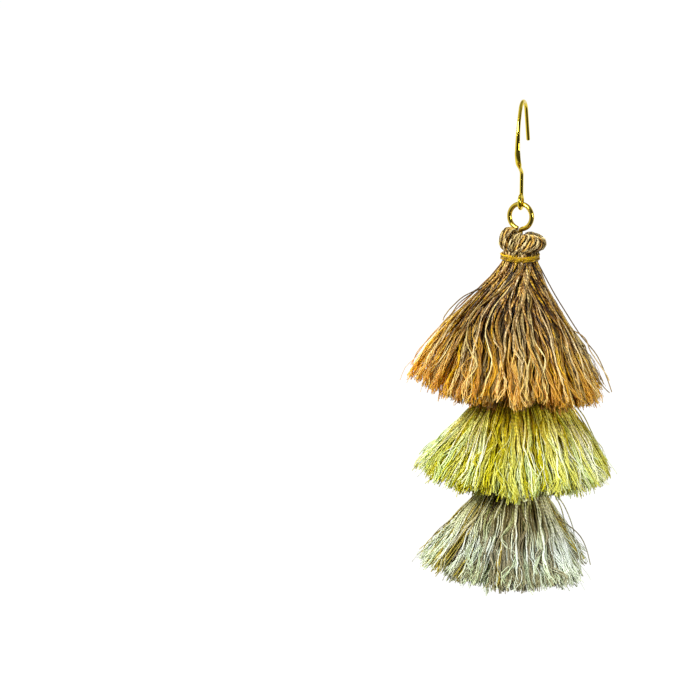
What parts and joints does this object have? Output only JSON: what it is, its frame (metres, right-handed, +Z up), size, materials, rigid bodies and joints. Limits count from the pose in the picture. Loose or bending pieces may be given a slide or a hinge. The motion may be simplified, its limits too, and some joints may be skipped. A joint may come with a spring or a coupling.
{
  "type": "tassel earring",
  "caption": "Drop earring with a fish-hook ear wire, an open eye pin and nested fanned thread tassels with wound gold bindings, hanging free from the hook's loop.",
  "frame": {"origin": "inside top of the ear hook's arch, where the earring hangs on the ear", "axes": "+Z up along the hanging length, the hook in the YZ plane with its tail toward +Y, the wearer's outer side facing -Y"},
  "size_m": [0.036, 0.0334, 0.0898],
  "materials": {
    "ear_wire": "polished gold-plated wire",
    "eye_wire": "polished antique gold wire",
    "caramel_thread": "silky caramel thread",
    "lime_thread": "silky yellow-green thread",
    "silver_thread": "silky silver-grey thread",
    "gold_thread": "shiny golden yellow thread"
  },
  "bodies": {
    "hook": {"ear_hook": "ear_wire"},
    "drop": {"eye_pin": "eye_wire", "tassel_top": "caramel_thread", "tassel_middle": "lime_thread", "tassel_bottom": "silver_thread", "binding_top": "gold_thread", "binding_middle": "gold_thread", "binding_bottom": "gold_thread"}
  },
  "joints": [
    {"name": "drop_swing", "type": "hinge", "parent": "hook", "child": "drop", "pos_m": [0, -0.001, -0.019], "axis": [0, 1, 0], "range_deg": [-60, 60]}
  ]
}
